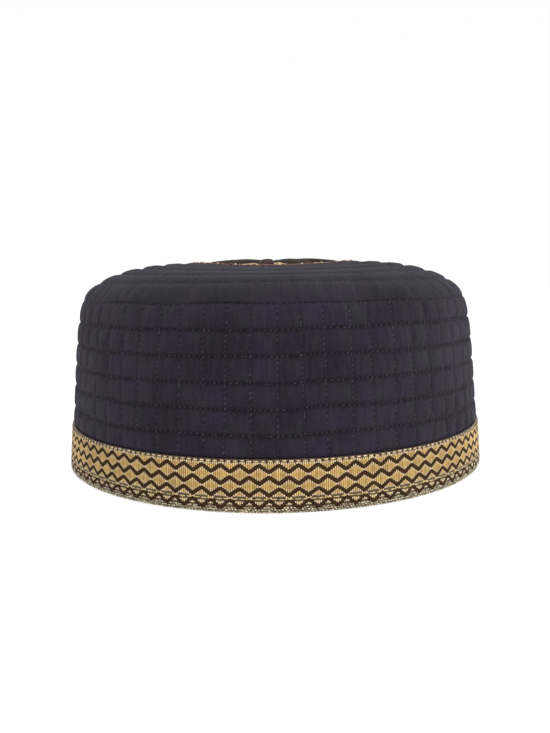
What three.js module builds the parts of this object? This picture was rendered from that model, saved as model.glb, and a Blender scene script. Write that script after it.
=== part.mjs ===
// A round quilted kufi cap standing on its rim: a padded side, a padded top that rounds over
// the shoulder and is sewn to the side's upper edge, and a woven ribbon folded over the rim.
// Millimetres, +Z up. The origin is on the floor at the middle of the rim, and -Y is the front.

import * as THREE from 'three';

// Side
const rimRadius = 92.5;        // outside of the ribbon at the floor
const sideSeamHeight = 71.8;   // where the side meets the top
const wallLean = 5.4;          // radius that the straight wall loses from its foot to the seam
const seamPull = 2.1;          // radius that it loses besides where it rounds in to the seam
const seamPullPower = 8;       // higher rounds in later

// Top
const crestHeight = 86.7;      // the top at its middle, under the padding
const topFullness = 5;         // power of the radius, higher is flatter in the middle
const shoulderRise = 0.78;     // power of the height, lower rises more steeply from the seam
const frontSag = 2.2;          // how far the soft top sinks at the front
const sagOuterRadius = 80;     // where that sinking has faded out towards the seam
const sagFullRadius = 62;      // where it has its full depth

// Quilting
const quiltPitch = 9;          // between neighbouring stitch lines, along and across
const quiltThickness = 2.2;    // the padded cloth at a stitch line
const sidePuff = 0.8;          // how far the side's padding stands up between lines
const topPuff = 0.9;           // the same on the top
const uprightDip = 0.4;        // share of the puff that an upright stitch line takes away

// Embroidered rosette in the middle of the top
const rosetteRadius = 31;
const rosetteMiddleRadius = 2; // the small flat disc where the petals meet
const petalCount = 8;
const petalPuff = 1.5;         // how far a petal stands up
const petalTurn = 12;          // degrees that the first petal is turned from +X

// Ribbon
const ribbonHeight = 18.6;     // floor to its upper edge
const ribbonThickness = 1;
const ribbonTurnIn = 7;        // height of the part folded up inside the cap
const foldRounding = 0.9;      // corners of the fold
const hemStitchHeight = 5;     // the row of stitches that holds the fold
const hemStitchWidth = 1.2;
const hemStitchDip = 0.25;     // how deep that row pulls the ribbon in

const sewnGap = 0.3;           // between neighbouring pieces

// Mesh steps
const stepsPerCell = 2;
const roundSegments = 96;
const petalRadiusShares = [0.85, 0.65, 0.45, 0.25];
const innerTopShares = [0, 0.12, 0.25, 0.45, 1];

// The side stands in the ribbon's fold
const footRadius = rimRadius - ribbonThickness - sewnGap;
const footHeight = ribbonThickness + sewnGap;

// Outside of the side at a stitch line
function sideRadiusAt(height) {
  const rise = (height - footHeight) / (sideSeamHeight - footHeight);
  return footRadius - wallLean * rise - seamPull * Math.max(0, rise) ** seamPullPower;
}
const sideSeamRadius = sideRadiusAt(sideSeamHeight);

const channelCount = Math.max(1, Math.round((sideSeamHeight - ribbonHeight) / quiltPitch));
const cellCount = Math.round(2 * Math.PI * sideRadiusAt(ribbonHeight) / quiltPitch);

// Height of one padded cell, 0 at its stitch lines and 1 in its middle
const swell = (position) => Math.abs(Math.sin(Math.PI * position)) ** 0.8;

// Places a point of the radius-height plane at an angle round the cap
function pushPoint(positions, point, angle) {
  positions.push(point.x * Math.cos(angle), point.x * Math.sin(angle), point.y);
}

function indexedGeometry(positions, faces) {
  const geometry = new THREE.BufferGeometry();
  geometry.setAttribute('position', new THREE.Float32BufferAttribute(positions, 3));
  geometry.setIndex(faces);
  geometry.computeVertexNormals();
  return geometry;
}

// Joins two neighbouring loops of points that run the same way round, each of size points
function pushBand(faces, first, second, size) {
  for (let i = 0; i < size; i++) {
    const k = (i + 1) % size;
    faces.push(first + i, second + i, second + k, first + i, second + k, first + k);
  }
}

// A closed ring of cloth. sectionAt gives its section at an angle, as a loop of points
// in the radius-height plane that starts at the outside of the foot and goes up.
function ringGeometry(segments, sectionAt) {
  const positions = [];
  const faces = [];
  const size = sectionAt(0).length;
  for (let i = 0; i < segments; i++) {
    const angle = 2 * Math.PI * i / segments;
    for (const point of sectionAt(angle)) {
      pushPoint(positions, point, angle);
    }
    pushBand(faces, i * size, ((i + 1) % segments) * size, size);
  }
  return indexedGeometry(positions, faces);
}

// Side: padded cells outside, a plain surface inside
function sideSection(angle) {
  const cell = angle / (2 * Math.PI) * cellCount;
  const upright = 1 - uprightDip * (1 - swell(cell));
  const section = [new THREE.Vector2(footRadius, footHeight)];
  const steps = channelCount * stepsPerCell;
  for (let i = 0; i <= steps; i++) {
    const height = THREE.MathUtils.lerp(ribbonHeight, sideSeamHeight, i / steps);
    const puff = sidePuff * swell(i / stepsPerCell) * upright;
    section.push(new THREE.Vector2(sideRadiusAt(height) + puff, height));
  }
  const middleHeight = (ribbonHeight + sideSeamHeight) / 2;
  for (const height of [sideSeamHeight, middleHeight, footHeight]) {
    section.push(new THREE.Vector2(sideRadiusAt(height) - quiltThickness, height));
  }
  return section;
}

// Top: its outside at a stitch line is one smooth rise from the seam to the middle
const topFootHeight = sideSeamHeight + sewnGap;
function topHeightAt(radius) {
  const rise = (1 - (radius / sideSeamRadius) ** topFullness) ** shoulderRise;
  return THREE.MathUtils.lerp(topFootHeight, crestHeight, rise);
}

// The same outline as a curve, from the seam to the edge of the rosette
class TopOutline extends THREE.Curve {
  getPoint(share, target = new THREE.Vector2()) {
    const wholeTurn = Math.acos((rosetteRadius / sideSeamRadius) ** (topFullness / 2));
    const radius = sideSeamRadius * Math.cos(share * wholeTurn) ** (2 / topFullness);
    return target.set(radius, topHeightAt(radius));
  }
}
const topOutline = new TopOutline();
const topRingCount = Math.max(1, Math.round(topOutline.getLength() / quiltPitch));

// A point of that curve moved outwards, or inwards if the distance is negative
function topOffsetPoint(share, distance) {
  const tangent = topOutline.getTangentAt(share);
  const outwards = new THREE.Vector2(tangent.y, -tangent.x).normalize();
  return topOutline.getPointAt(share).addScaledVector(outwards, distance);
}

// The soft top sinks towards the front, between the seam and the rosette's middle
function sagAt(radius, angle) {
  const towardsFront = Math.max(0, -Math.sin(angle)) ** 2;
  const outside = 1 - THREE.MathUtils.smoothstep(radius, sagFullRadius, sagOuterRadius);
  const inside = THREE.MathUtils.smoothstep(radius, rosetteRadius / 3, rosetteRadius);
  return frontSag * towardsFront * outside * inside;
}

// The rosette's petals, puffed between their edges and between its middle and its rim
function petalPoint(radius, angle) {
  const turned = angle - THREE.MathUtils.degToRad(petalTurn);
  const across = swell(turned / (2 * Math.PI) * petalCount);
  const along = swell(radius / rosetteRadius);
  return new THREE.Vector2(radius, topHeightAt(radius) + petalPuff * across * along);
}

function topGeometry() {
  const loops = [];
  const steps = topRingCount * stepsPerCell;
  for (const share of innerTopShares.toReversed()) {
    loops.push(() => topOffsetPoint(share, -quiltThickness));
  }
  for (let i = 0; i <= steps; i++) {
    loops.push(() => topOffsetPoint(i / steps, topPuff * swell(i / stepsPerCell)));
  }
  for (const share of petalRadiusShares) {
    loops.push((angle) => petalPoint(rosetteRadius * share, angle));
  }
  loops.push((angle) => petalPoint(rosetteMiddleRadius, angle));

  const positions = [];
  const faces = [];
  loops.forEach((pointAt, loop) => {
    for (let i = 0; i < roundSegments; i++) {
      const angle = 2 * Math.PI * i / roundSegments;
      const point = pointAt(angle);
      point.y -= sagAt(point.x, angle);
      pushPoint(positions, point, angle);
    }
    if (loop > 0) {
      pushBand(faces, loop * roundSegments, (loop - 1) * roundSegments, roundSegments);
    }
  });

  const underMiddle = positions.length / 3;
  positions.push(0, 0, crestHeight - quiltThickness);
  const upperMiddle = underMiddle + 1;
  positions.push(0, 0, topHeightAt(0));
  const lastLoop = (loops.length - 1) * roundSegments;
  for (let i = 0; i < roundSegments; i++) {
    const k = (i + 1) % roundSegments;
    faces.push(k, i, underMiddle);
    faces.push(lastLoop + i, lastLoop + k, upperMiddle);
  }
  return indexedGeometry(positions, faces);
}

// Ribbon: one strip that goes down the outside, under the side's foot and up the inside
function ribbonSection() {
  const outside = (height, dip = 0) =>
    new THREE.Vector2(sideRadiusAt(height) + sewnGap + ribbonThickness - dip, height);
  const innerFoot = footRadius - quiltThickness - sewnGap;
  const innerEdge = sideRadiusAt(ribbonTurnIn) - quiltThickness - sewnGap;
  const foldInside = innerFoot - ribbonThickness;
  const foldOutside = rimRadius;
  return [
    new THREE.Vector2(foldOutside - foldRounding, 0),
    new THREE.Vector2(foldOutside - 0.25 * foldRounding, 0.3 * foldRounding),
    new THREE.Vector2(foldOutside, footHeight),
    outside(hemStitchHeight - hemStitchWidth / 2),
    outside(hemStitchHeight, hemStitchDip),
    outside(hemStitchHeight + hemStitchWidth / 2),
    outside(ribbonHeight),
    new THREE.Vector2(sideRadiusAt(ribbonHeight) + sewnGap, ribbonHeight),
    new THREE.Vector2(footRadius + sewnGap, ribbonThickness),
    new THREE.Vector2(innerFoot, ribbonThickness),
    new THREE.Vector2(innerEdge, ribbonTurnIn),
    new THREE.Vector2(innerEdge - ribbonThickness, ribbonTurnIn),
    new THREE.Vector2(foldInside, footHeight),
    new THREE.Vector2(foldInside + 0.25 * foldRounding, 0.3 * foldRounding),
    new THREE.Vector2(foldInside + foldRounding, 0),
  ];
}

const navyCloth = new THREE.MeshStandardMaterial({ color: 0x322b38, roughness: 0.9, metalness: 0 });
const navyTop = new THREE.MeshStandardMaterial({ color: 0x37323d, roughness: 0.9, metalness: 0 });
const goldWeave = new THREE.MeshStandardMaterial({ color: 0xb08f58, roughness: 0.6, metalness: 0.1 });

function piece(name, geometry, material) {
  const mesh = new THREE.Mesh(geometry, material);
  mesh.name = name;
  return mesh;
}

const cap = new THREE.Group();
cap.add(piece('crown_side', ringGeometry(cellCount * stepsPerCell, sideSection), navyCloth));
cap.add(piece('crown_top', topGeometry(), navyTop));
cap.add(piece('rim_ribbon', ringGeometry(roundSegments, ribbonSection), goldWeave));

export default cap;
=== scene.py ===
# A quilted kufi cap, dressed in padded cloth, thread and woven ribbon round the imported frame.
# Metres, +Z up. The front faces -Y, and angles round the cap are in radians from +X.
import math
from collections import namedtuple

import bpy
import numpy as np
from mathutils import Matrix, Vector


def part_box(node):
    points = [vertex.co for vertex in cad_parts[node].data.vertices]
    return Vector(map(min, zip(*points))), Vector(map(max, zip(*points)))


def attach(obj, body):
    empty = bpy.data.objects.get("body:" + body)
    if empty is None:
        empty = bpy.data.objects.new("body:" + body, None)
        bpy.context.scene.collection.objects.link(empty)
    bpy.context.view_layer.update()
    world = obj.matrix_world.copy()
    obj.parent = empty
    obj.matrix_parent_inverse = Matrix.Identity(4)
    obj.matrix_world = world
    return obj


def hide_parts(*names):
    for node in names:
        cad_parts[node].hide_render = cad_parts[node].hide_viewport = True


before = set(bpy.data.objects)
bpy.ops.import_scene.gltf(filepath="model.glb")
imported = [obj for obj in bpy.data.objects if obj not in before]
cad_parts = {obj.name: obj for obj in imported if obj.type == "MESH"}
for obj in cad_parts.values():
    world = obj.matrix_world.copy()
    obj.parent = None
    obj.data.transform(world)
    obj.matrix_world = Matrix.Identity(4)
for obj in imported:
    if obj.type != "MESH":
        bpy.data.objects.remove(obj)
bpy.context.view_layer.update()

MM = 0.001
TAU = 2 * math.pi
FRONT = -math.pi / 2
dice = np.random.default_rng(7514)

# Sizes read from the frame
RIM_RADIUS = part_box("rim_ribbon")[1].x
RIBBON_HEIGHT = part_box("rim_ribbon")[1].z
FOOT_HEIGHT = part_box("crown_side")[0].z
SEAM_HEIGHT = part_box("crown_side")[1].z
TOP_FOOT_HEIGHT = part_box("crown_top")[0].z

# Outline of the side and the top, as the part has it
WALL_LEAN = 5.4 * MM
SEAM_PULL = 2.1 * MM
SEAM_PULL_POWER = 8
CREST_HEIGHT = 86.7 * MM
TOP_FULLNESS = 5
SHOULDER_RISE = 0.78
FRONT_SAG = 2.2 * MM
SAG_OUTER_RADIUS = 80 * MM
SAG_FULL_RADIUS = 62 * MM
SEWN_GAP = 0.3 * MM
SEAM_CLOSING = 0.12 * MM  # cloth on either side of the seam fills this much of the gap

# Quilting
QUILT_PITCH = 9 * MM
QUILT_THICKNESS = 2.2 * MM
SIDE_PUFF = 0.62 * MM
TOP_PUFF = 0.6 * MM
CELL_FULLNESS = 0.45      # lower gives flatter cells and rings with tighter valleys
LEVEL_HOLD = 0.4          # share of the puff that a level stitch line takes away
UPRIGHT_HOLD = 0.06       # and an upright one
SHOULDER_HOLD = 0.22      # and the first rings of the top, where the cloth is stretched smooth
RING_HOLD = 0.65          # and the other rings
FRONT_EASE = 0.92         # share of that which is missing at the front
FIRST_FULL_RING = 2.5
RIBBON_CLEARANCE = 1.6 * MM  # the padding has its full height this far above the ribbon
FIRST_UPRIGHT = FRONT + math.radians(0.4)

# Valleys along the stitch lines, and the shade painted along them
LINE_DIP = 0.32 * MM      # how far the thread draws the cloth in
LINE_DIP_WIDTH = 0.5 * MM
UPRIGHT_DIP_SHARE = 0.2   # an upright line draws in less than a level one
RING_DIP_SHARE = 0.3      # and so does a ring on the top
SEAM_DIP_SHARE = 0.4      # and the seam between the side and the top
SHADE_WIDTH = 0.75 * MM   # of the painted shade along a level line
UPRIGHT_SHADE = 0.45      # an upright line has less of it than a level one
RING_SHADE = 0.1          # and a ring has hardly any
PUCKER_START = 0.5 * MM   # puckers grow up to this far from a line
PUCKER_REACH = 2 * MM
UPRIGHT_PUCKER_REACH = 1.6 * MM

# What hand and machine leave uneven
UPRIGHT_SHIFT = 0.04      # share of a cell
UPRIGHT_LEAN = 0.07       # share of a cell, over the side's height
CELL_UNEVENNESS = (0.85, 1.15)
ROW_STEP = 0.55 * MM      # the level lines don't quite meet where their rows are joined
ROW_STEP_ANGLE = FRONT + math.radians(5.6)
ROW_STEP_MIDDLE = 0.55    # share of the way round where a row is at its own height

# Cloth simulation of the padding
SIMULATED_PER_CELL = 8
SIMULATION_SCALE = 100    # the cloth solver is at its best on cells about a metre wide
SIMULATION_FRAMES = 14
CLOTH_GROWTH = 0.012      # extra cloth between the lines, which puffs out and puckers
CLOTH_BENDING = 0.5
PADDING_PRESSURE = 1.2
PADDING_LIMIT = 1.1 * MM  # the most that a cell may stand out
ON_LINE = 1e-6            # share of a cell that counts as no distance

# Stitches of the quilting
STITCH_PITCH = 1.95 * MM
STITCH_LENGTH = 1.1 * MM
STITCH_DRIFT = 0.11       # share of the pitch that a stitch strays along its line
STITCH_UNEVENNESS = (0.72, 1.22)  # shortest and longest, as shares of the length
STITCH_SLANT = math.radians(22)
DOME_CENTRE = np.array([0, 0, 0.5 * CREST_HEIGHT])
DOME_FLATNESS = np.array([0.35, 0.35, 1])  # ring stitches face more upwards than outwards

# Rosette
ROSETTE_RADIUS = 31 * MM
ROSETTE_MIDDLE = 2 * MM
PETAL_COUNT = 8
PETAL_PUFF = 1.7 * MM
PETAL_TURN = math.radians(12)
LEAF_SHARES = [0.95, 0.62]  # of its sector that an olive and a maroon leaf fill
LEAF_REACH = 0.75         # lower moves a leaf's widest place inwards
LEAF_FULLNESS = 0.6       # lower gives blunter leaves
LEAF_TIP_RADIUS = 0.985 * ROSETTE_RADIUS
SATIN_STEPS = 40          # stitches on each half of a leaf
SATIN_SLANT = 0.07 * ROSETTE_RADIUS
SATIN_EDGE = 0.9          # share of a leaf's half width that the stitches reach
SATIN_END_RADIUS = 0.97 * ROSETTE_RADIUS
SATIN_END_LIFT = 0.05 * MM
CORNER_COUNT = 9          # of each zigzag between two leaves
CORNER_RADII = (0.5 * ROSETTE_RADIUS, 0.95 * ROSETTE_RADIUS)
CORNER_ROOM = 0.75        # share of the room between the leaves that a zigzag takes
ROPE_LIFT = 0.25 * MM
ROPE_SLANT = math.radians(28)
ROPE_OVERLAP = 1.5        # length of a rope's strand, in pitches
KNOT_FLATNESS = 0.8       # thickness of a dot, as a share of its size

# Ribbon
RIBBON_THICKNESS = 1 * MM
RIBBON_TURN_IN = 7 * MM
RIBBON_SWAY_HEIGHT = 6 * MM  # above it the ribbon's waves fade out
EDGE_ROUNDING = 0.3 * MM
FOLD_ROUNDING = 0.9 * MM
FOLD_CORNER_IN = 0.25     # where the rounding's corner is, as shares of it
FOLD_CORNER_UP = 0.3
FOLD_TOP = 2.2 * MM
HEM_HEIGHT = 5.05 * MM
HEM_DIP = 0.25 * MM
HEM_DIP_WIDTH = 0.7 * MM
HEM_STITCH_PITCH = 2.75 * MM
HEM_STITCH_LENGTH = 2.3 * MM
HEM_UNEVENNESS = 0.06 * MM
ZIGZAG_COUNT = 85
ZIGZAG_PEAKS = [16.95 * MM, 12.85 * MM, 8.8 * MM, 4.7 * MM]
ZIGZAG_DEPTH = 2.75 * MM
ZIGZAG_WIDTH = 1.66 * MM
ZIGZAG_THICKNESS = 0.36 * MM
ZIGZAG_LIFT = 0.12 * MM
ZIGZAG_SHARPNESS = 0.97   # 1 gives sharp corners
ZIGZAG_START = FRONT + 0.0122
FLOATS_PER_ZIGZAG = 9
FLOAT_COUNT = ZIGZAG_COUNT * FLOATS_PER_ZIGZAG
FLOAT_FILL = 1.06         # neighbouring floats touch
FLOAT_MARGIN = 0.3 * ZIGZAG_WIDTH
FLOAT_UNEVENNESS = 0.08 * MM
FLOATS_TOP = RIBBON_HEIGHT - 0.75 * MM
FLOATS_FOOT = 3.1 * MM
SHORTEST_FLOAT = 0.22 * MM
PALE_LENGTHS = (0.9 * MM, 2.4 * MM)  # floats are pale up to the first and golden from the second
HEM_GAP_FOOT = HEM_HEIGHT - 0.75 * MM
HEM_GAP_TOP = HEM_HEIGHT + 0.85 * MM
SELVAGE_PITCH = 2.45 * MM
LOOP_SHARE = 0.68         # of that pitch
LOOP_UNEVENNESS = (0.8, 1.15)
LOOP_HEIGHT = RIBBON_HEIGHT - 0.45 * MM
LOOP_STRAY = 0.08 * MM
TICK_FOOT = RIBBON_HEIGHT - 1.5 * MM
TICK_TOP = RIBBON_HEIGHT - 0.1 * MM
FOLD_THREAD_PITCH = 1.15 * MM
FOLD_THREAD_ROWS = [0.6 * MM, 2.1 * MM, 1.35 * MM]
FOLD_THREAD_STRAY = 0.4   # share of a thread's own room round the rim
FOLD_THREAD_SHIFTS = (-0.15 * MM, 0.2 * MM)
FOLD_THREAD_HALVES = (0.3 * MM, 0.55 * MM)
FOLD_THREAD_RISE = 0.2 * MM

# How wide and thick each kind of thread is, how far its middle arches up and how far it is lifted
Thread = namedtuple("Thread", "width thickness arch lift", defaults=(0, 0))
QUILT_THREAD = Thread(0.46 * MM, 0.27 * MM, 0.09 * MM)
FLOAT_THREAD = Thread(TAU * RIM_RADIUS / FLOAT_COUNT * FLOAT_FILL, 0.34 * MM, 0.1 * MM, 0.05 * MM)
HEM_THREAD = Thread(0.5 * MM, 0.4 * MM, 0.2 * MM, 0.1 * MM)
LOOP_THREAD = Thread(0.62 * MM, 0.5 * MM, 0, -0.05 * MM)
TICK_THREAD = Thread(0.42 * MM, 0.5 * MM, 0, 0.1 * MM)
FOLD_THREAD = Thread(0.55 * MM, 0.4 * MM, 0, 0.05 * MM)
SATIN_THREAD = Thread(0.8 * MM, 0.4 * MM, 0.5 * MM, 0.12 * MM)

# Mesh steps
COLUMNS_PER_CELL = 16
ROWS_PER_CHANNEL = 12
INNER_SIDE_ROWS = 5
TOP_COLUMNS = 640
ROWS_PER_RING = 12
INNER_TOP_SHARES = np.array([0.12, 0.45, 0.7, 0.87, 0.95])
TRACE_STEPS = 3001
ROSETTE_ROWS = 46
RIBBON_COLUMNS_PER_ZIGZAG = 10
RIBBON_ROWS = 32
ZIGZAG_STEPS = 12
ZIGZAG_SIDES = 6
STRAND_SIDES = 4

FOOT_RADIUS = RIM_RADIUS - RIBBON_THICKNESS - SEWN_GAP


def blend(low, high, share):
    return low + (high - low) * share


def smooth_step(value, low, high):
    share = np.clip((value - low) / (high - low), 0, 1)
    return share * share * (3 - 2 * share)


def swell(position):
    """Height of one padded cell or ring, 0 at its stitch lines and 1 in its middle."""
    return np.abs(np.sin(np.pi * position)) ** CELL_FULLNESS


def nearest(position):
    """Distance to the nearest stitch line, as a share of a cell."""
    return np.abs(position - np.round(position))


def bell(distance, width):
    """1 at no distance, fading to 0 over about twice a width."""
    return np.exp(-(distance / width) ** 2)


def line_dip(distance):
    """Depth of the narrow valley that a line of thread draws into the cloth."""
    return LINE_DIP * bell(distance, LINE_DIP_WIDTH)


def beside_line(distance):
    """Share of their height that puckers have beside a line, with none on the line itself."""
    return bell(distance, PUCKER_REACH) * np.minimum(1, distance / PUCKER_START)


def eased_shares(steps):
    """Shares from 0 up to, but without, 1, closer together towards both ends."""
    return (1 - np.cos(np.pi * np.arange(steps) / steps)) / 2


def draw_waves(count, fewest, most, slope, depth):
    """Random soft waves of the cloth, each with whole turns round the cap so that it closes."""
    return list(zip(
        dice.integers(fewest, most, count),
        dice.normal(0, slope, count),
        dice.uniform(0, TAU, count),
        dice.uniform(0.5, 1.5, count) * depth / math.sqrt(count),
    ))


def wave_height(waves, angle, distance):
    total = 0
    for turns, slope, phase, depth in waves:
        total = total + depth * np.cos(turns * angle + slope * distance + phase)
    return total


# Meshes

def ring_quads(columns, rows, closed):
    """Quads of a grid that runs round the cap. A closed one joins its last row to its first."""
    column = np.arange(columns)[:, None]
    beside = (column + 1) % columns
    row = np.arange(rows if closed else rows - 1)[None, :]
    above = (row + 1) % rows
    corners = [column * rows + row, beside * rows + row, beside * rows + above, column * rows + above]
    return np.stack(corners, axis=-1).reshape(-1, 4)


def add_piece(name, points, faces, material, slot, **point_values):
    mesh = bpy.data.meshes.new(name)
    mesh.from_pydata(points.reshape(-1, 3).tolist(), [], faces)
    mesh.shade_smooth()
    for key, values in point_values.items():
        attribute = mesh.attributes.new(key, "FLOAT", "POINT")
        attribute.data.foreach_set("value", np.asarray(values, np.float32).ravel())
    mesh.materials.append(material)
    piece = bpy.data.objects.new(name, mesh)
    bpy.context.scene.collection.objects.link(piece)
    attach(piece, "root")
    return piece


def on_circle(radius, angle, height):
    radius, angle, height = np.broadcast_arrays(radius, angle, height)
    return np.stack([radius * np.cos(angle), radius * np.sin(angle), height], axis=-1)


def unit(vectors):
    return vectors / np.linalg.norm(vectors, axis=-1, keepdims=True)


def radial(points):
    return unit(points * np.array([1, 1, 0]))


def upwards(count):
    return np.tile([0.0, 0.0, 1.0], (count, 1))


# Each row is a place along a strand and its girth there
STRAND_SHAPE = np.array([(0.02, 0.45), (0.18, 0.9), (0.5, 1.0), (0.82, 0.9), (0.98, 0.45)])


def add_strands(name, starts, ends, outwards, thread, material, slot, pale=0.0):
    """Short threads as one piece, each a rounded bead from its start to its end."""
    count = len(starts)
    along, girth = STRAND_SHAPE.T
    run = ends - starts
    outwards = unit(outwards)
    sideways = unit(np.cross(outwards, run))
    turn = np.arange(STRAND_SIDES) * TAU / STRAND_SIDES
    middle = starts[:, None] + run[:, None] * along[None, :, None]
    rise = thread.arch * (1 - (2 * along - 1) ** 2)
    middle = middle + outwards[:, None] * rise[None, :, None]
    across = (thread.width / 2 * girth[:, None] * np.cos(turn))[..., None]
    out = (thread.thickness / 2 * girth[:, None] * np.sin(turn))[..., None]
    rings = middle[:, :, None] + across * sideways[:, None, None] + out * outwards[:, None, None]
    points = np.concatenate([rings.reshape(count, -1, 3), starts[:, None], ends[:, None]], axis=1)

    side = np.arange(STRAND_SIDES)
    following = (side + 1) % STRAND_SIDES
    last = (len(along) - 1) * STRAND_SIDES
    first_end = last + STRAND_SIDES
    quads = [
        np.stack([ring + side, ring + following,
                  ring + STRAND_SIDES + following, ring + STRAND_SIDES + side], axis=-1)
        for ring in range(0, last, STRAND_SIDES)
    ]
    caps = np.concatenate([
        np.stack([following, side, np.full(STRAND_SIDES, first_end)], axis=-1),
        np.stack([last + side, last + following, np.full(STRAND_SIDES, first_end + 1)], axis=-1),
    ])
    offsets = (np.arange(count) * points.shape[1])[:, None, None]
    faces = (np.concatenate(quads)[None] + offsets).reshape(-1, 4).tolist()
    faces += (caps[None] + offsets).reshape(-1, 3).tolist()

    # Tip rises to 1 at a strand's ends and is at least its paleness; a tip colour paints highlight on the
    # ends
    tip = np.concatenate([np.repeat(np.abs(2 * along - 1), STRAND_SIDES), [1, 1]])
    tips = np.maximum(tip, np.broadcast_to(pale, count)[:, None])
    tones = np.broadcast_to(dice.uniform(0, 1, (count, 1)), tips.shape)
    return add_piece(name, points, faces, material, slot, tip=tips, tone=tones)


# Padding

def settle_cloth(points, stitched):
    """Cloth over its padding: a grid round the cap is held where it is stitched and blown out between."""
    mesh = bpy.data.meshes.new("settling_cloth")
    vertices = (points * SIMULATION_SCALE).reshape(-1, 3).tolist()
    mesh.from_pydata(vertices, [], ring_quads(*points.shape[:2], closed=False).tolist())
    cloth = bpy.data.objects.new("settling_cloth", mesh)
    bpy.context.scene.collection.objects.link(cloth)
    group = cloth.vertex_groups.new(name="stitched")
    group.add(np.flatnonzero(stitched.ravel()).tolist(), 1.0, "REPLACE")
    solver = cloth.modifiers.new("padding", "CLOTH")
    solver.point_cache.frame_start = 1
    solver.point_cache.frame_end = SIMULATION_FRAMES
    solver.settings.vertex_group_mass = group.name
    solver.settings.shrink_min = -CLOTH_GROWTH
    solver.settings.use_pressure = True
    solver.settings.uniform_pressure_force = PADDING_PRESSURE
    solver.settings.bending_stiffness = CLOTH_BENDING
    solver.settings.effector_weights.gravity = 0
    solver.collision_settings.use_collision = False
    for step in range(1, SIMULATION_FRAMES + 1):
        bpy.context.scene.frame_set(step)
    settled = cloth.evaluated_get(bpy.context.evaluated_depsgraph_get()).data
    moved = np.zeros(points.size, np.float32)
    settled.vertices.foreach_get("co", moved)
    bpy.data.objects.remove(cloth)
    bpy.data.meshes.remove(mesh)
    bpy.context.scene.frame_set(1)
    return moved.reshape(points.shape) / SIMULATION_SCALE


def curve_weights(share):
    """Weights of four neighbouring values for a smooth curve through the middle two."""
    return (
        share * (share * (2 - share) - 1) / 2,
        (share * share * (3 * share - 5) + 2) / 2,
        share * (share * (4 - 3 * share) + 1) / 2,
        share * share * (share - 1) / 2,
    )


def read_grid(grid, across, up):
    """Smooth value of a grid that closes round the cap, at places given in its own steps."""
    across, up = np.broadcast_arrays(across, up)
    column, row = np.floor(across).astype(int), np.floor(up).astype(int)
    total = np.zeros(across.shape)
    for i, side_weight in enumerate(curve_weights(across - column)):
        for k, up_weight in enumerate(curve_weights(up - row)):
            rows = np.clip(row + k - 1, 0, grid.shape[1] - 1)
            total += side_weight * up_weight * grid[(column + i - 1) % grid.shape[0], rows]
    return total


# Outline of the side

def side_radius(height):
    rise = (height - FOOT_HEIGHT) / (SEAM_HEIGHT - FOOT_HEIGHT)
    pull = SEAM_PULL * np.maximum(rise, 0) ** SEAM_PULL_POWER
    return FOOT_RADIUS - WALL_LEAN * rise - pull


SEAM_RADIUS = float(side_radius(SEAM_HEIGHT))
CHANNELS = round((SEAM_HEIGHT - RIBBON_HEIGHT) / QUILT_PITCH)
QUILT_FOOT_HEIGHT = SEAM_HEIGHT - CHANNELS * QUILT_PITCH
CELLS = round(TAU * float(side_radius(RIBBON_HEIGHT)) / QUILT_PITCH)

upright_shift = dice.normal(0, UPRIGHT_SHIFT, CELLS)
upright_lean = dice.normal(0, UPRIGHT_LEAN, CELLS)
level_waves = [
    draw_waves(count=4, fewest=3, most=19, slope=0, depth=0.22 * MM) for _ in range(CHANNELS + 1)
]
cell_fullness = dice.uniform(*CELL_UNEVENNESS, (CELLS, CHANNELS))
cloth_waves = draw_waves(count=26, fewest=8, most=70, slope=260, depth=0.19 * MM)
level_puckers = draw_waves(count=12, fewest=130, most=240, slope=120, depth=0.14 * MM)
upright_puckers = draw_waves(count=12, fewest=1, most=30, slope=1900, depth=0.05 * MM)


def upright_angle(line, level):
    """Angle of an upright stitch line, at a level in channels above the ribbon."""
    k = np.asarray(line).astype(int) % CELLS
    lean = upright_lean[k] * (level / CHANNELS - 0.5)
    return FIRST_UPRIGHT + (line + upright_shift[k] + lean) * TAU / CELLS


def level_height(level, angle):
    """Height of the level stitch lines, from 0 under the ribbon's edge to CHANNELS at the seam."""
    turned = ((angle - ROW_STEP_ANGLE) / TAU) % 1
    wobble = np.choose(level, [wave_height(waves, angle, 0) for waves in level_waves])
    step = ROW_STEP * (ROW_STEP_MIDDLE - turned) * (level < CHANNELS)
    straight = blend(QUILT_FOOT_HEIGHT, SEAM_HEIGHT + SEAM_CLOSING, level / CHANNELS)
    return straight + (level > 0) * (wobble + step)


def quilt_place(across, level):
    """Angle and height of a place that is given in cells round the cap and channels up it."""
    line = np.floor(across)
    angle = blend(upright_angle(line, level), upright_angle(line + 1, level), across - line)
    lower = np.clip(np.floor(level), 0, CHANNELS - 1).astype(int)
    height = blend(level_height(lower, angle), level_height(lower + 1, angle), level - lower)
    return angle, height


def plain_padding(across, level):
    """Height of the padding before the cloth settles on it."""
    middle = across - 0.5
    left = np.floor(middle).astype(int)
    row = np.clip(np.floor(level), 0, CHANNELS - 1).astype(int)
    share = smooth_step(middle - left, 0, 1)
    full = blend(cell_fullness[left % CELLS, row], cell_fullness[(left + 1) % CELLS, row], share)
    full = blend(1, full, swell(level))
    held = (1 - LEVEL_HOLD * (1 - swell(level))) * (1 - UPRIGHT_HOLD * (1 - swell(across)))
    return SIDE_PUFF * held * full


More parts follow.
